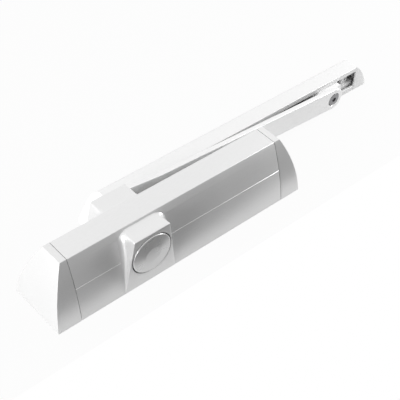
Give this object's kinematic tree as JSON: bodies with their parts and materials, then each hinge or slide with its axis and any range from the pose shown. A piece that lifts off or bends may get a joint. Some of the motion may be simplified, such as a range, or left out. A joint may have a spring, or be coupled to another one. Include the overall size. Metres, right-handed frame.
{
  "type": "overhead door closer",
  "caption": "Surface-mounted door closer with a long silver body, moulded hoods, a dished spindle cap and a flat arm whose slide block runs in a slotted guide rail.",
  "frame": {"origin": "centre of the body's mounting face", "axes": "+X along the body towards the pivot end of the arm, +Y from the body to the arm and rail, +Z away from the mounting surface"},
  "size_m": [0.4489, 0.0932, 0.058],
  "materials": {
    "silver_cover": "satin silver lacquer",
    "silver_moulding": "satin silver lacquer",
    "bright_cap": "bright silver",
    "silver_arm": "satin silver lacquer",
    "rail_silver": "silver anodised",
    "rail_plastic": "moulded, light silver",
    "housing_metal": "as cast, machined bores",
    "steel": "ground",
    "zinc_steel": "zinc plated",
    "seal_rubber": "oil-proof black",
    "brass": "turned"
  },
  "bodies": {
    "closer_body": {"housing": "housing_metal", "cover": "silver_cover", "end_cap_left": "silver_moulding", "end_cap_right": "silver_moulding", "spindle_hood": "silver_moulding", "arm_hood": "silver_moulding", "bearing_cover_near": "steel", "bearing_cover_far": "steel", "spindle_bearing_near": "steel", "spindle_bearing_far": "steel", "shaft_seal_near": "seal_rubber", "shaft_seal_far": "seal_rubber", "damping_end_plug": "steel", "spring_end_plug": "steel", "plug_seals": "seal_rubber", "closing_spring": "steel", "return_spring": "steel"},
    "swing_arm": {"spindle": "steel", "spindle_cap": "bright_cap", "arm": "silver_arm", "arm_washer": "zinc_steel", "arm_screw": "zinc_steel"},
    "spring_piston_set": {"spring_piston": "steel", "spring_roller_pin": "steel"},
    "spring_roller_body": {"spring_roller": "steel"},
    "damping_piston_set": {"damping_piston": "steel", "damping_roller_pin": "steel", "piston_check_valve": "brass"},
    "damping_roller_body": {"damping_roller": "steel"},
    "force_adjuster": {"adjusting_screw": "zinc_steel"},
    "spring_seat_body": {"spring_seat": "steel"},
    "closing_valve": {"closing_speed_valve": "brass"},
    "latching_valve": {"latching_speed_valve": "brass"},
    "slider": {"slide_block": "rail_plastic", "pivot_bolt": "zinc_steel", "pivot_washer": "zinc_steel"},
    "guide_rail": {"rail": "rail_silver", "rail_end_cap_left": "rail_plastic", "rail_end_cap_right": "rail_plastic", "rail_insert_left": "rail_plastic", "rail_insert_right": "rail_plastic"}
  },
  "joints": [
    {"name": "arm_swing", "type": "hinge", "parent": "closer_body", "child": "swing_arm", "pos_m": [-0.042, 0, 0.0323], "axis": [0, -1, 0], "range_deg": [0, 145], "stiffness_Nm_per_rad": 6, "springref_deg": -20.05},
    {"name": "spring_piston_slide", "type": "slide", "parent": "closer_body", "child": "spring_piston_set", "axis": [1, 0, 0], "range_m": [0, 0.0071], "deforming": ["closing_spring"]},
    {"name": "damping_piston_slide", "type": "slide", "parent": "closer_body", "child": "damping_piston_set", "axis": [1, 0, 0], "range_m": [0, 0.0071], "deforming": ["return_spring"]},
    {"name": "spring_roller_spin", "type": "hinge", "parent": "spring_piston_set", "child": "spring_roller_body", "pos_m": [-0.02845, 0, 0.0323], "axis": [0, 1, 0], "continuous": true},
    {"name": "damping_roller_spin", "type": "hinge", "parent": "damping_piston_set", "child": "damping_roller_body", "pos_m": [-0.06264, 0, 0.0323], "axis": [0, 1, 0], "continuous": true},
    {"name": "adjuster_turn", "type": "hinge", "parent": "closer_body", "child": "force_adjuster", "pos_m": [0.1, 0, 0.0323], "axis": [1, 0, 0], "range_deg": [0, 1440]},
    {"name": "spring_seat_slide", "type": "slide", "parent": "closer_body", "child": "spring_seat_body", "axis": [-1, 0, 0], "range_m": [0, 0.0105]},
    {"name": "closing_speed_turn", "type": "hinge", "parent": "closer_body", "child": "closing_valve", "pos_m": [-0.104, -0.009, 0.00984], "axis": [-1, 0, 0], "range_deg": [0, 360]},
    {"name": "latching_speed_turn", "type": "hinge", "parent": "closer_body", "child": "latching_valve", "pos_m": [-0.104, 0.009, 0.00984], "axis": [-1, 0, 0], "range_deg": [0, 360]},
    {"name": "slider_pivot", "type": "hinge", "parent": "swing_arm", "child": "slider", "pos_m": [0.2485, 0.036, 0.0152], "axis": [0, -1, 0], "range_deg": [-90, 90]},
    {"name": "rail_slide", "type": "slide", "parent": "slider", "child": "guide_rail", "axis": [1, 0, 0], "range_m": [-0.003, 0.236]}
  ],
  "couplings": [
    {"joint": "spring_piston_slide", "follows": "arm_swing", "m_per_rad": 0.0028},
    {"joint": "damping_piston_slide", "follows": "arm_swing", "m_per_rad": 0.0028},
    {"joint": "spring_seat_slide", "follows": "adjuster_turn", "m_per_rad": 0.000318}
  ]
}
